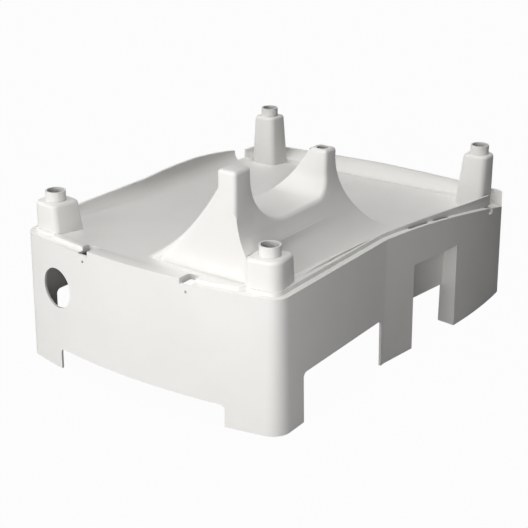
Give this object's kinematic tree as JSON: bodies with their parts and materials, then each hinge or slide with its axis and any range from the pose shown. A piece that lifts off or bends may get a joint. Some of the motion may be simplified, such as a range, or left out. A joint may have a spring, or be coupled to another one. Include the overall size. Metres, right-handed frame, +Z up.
{
  "type": "injection moulded plastic housing",
  "caption": "Moulded open-bottomed machine housing with corner socket posts and a raised cradle on its sloping deck",
  "frame": {"origin": "floor level, at the middle of the overall box", "axes": "+Z up from the feet to the pylons, +X to the right along the bowed front wall, +Y from the front wall to the rear wall, the longest way"},
  "size_m": [0.5576, 0.7445, 0.377],
  "materials": {
    "housing": "satin, warm light grey, as moulded"
  },
  "bodies": {
    "root": {"housing": "housing"}
  },
  "joints": []
}
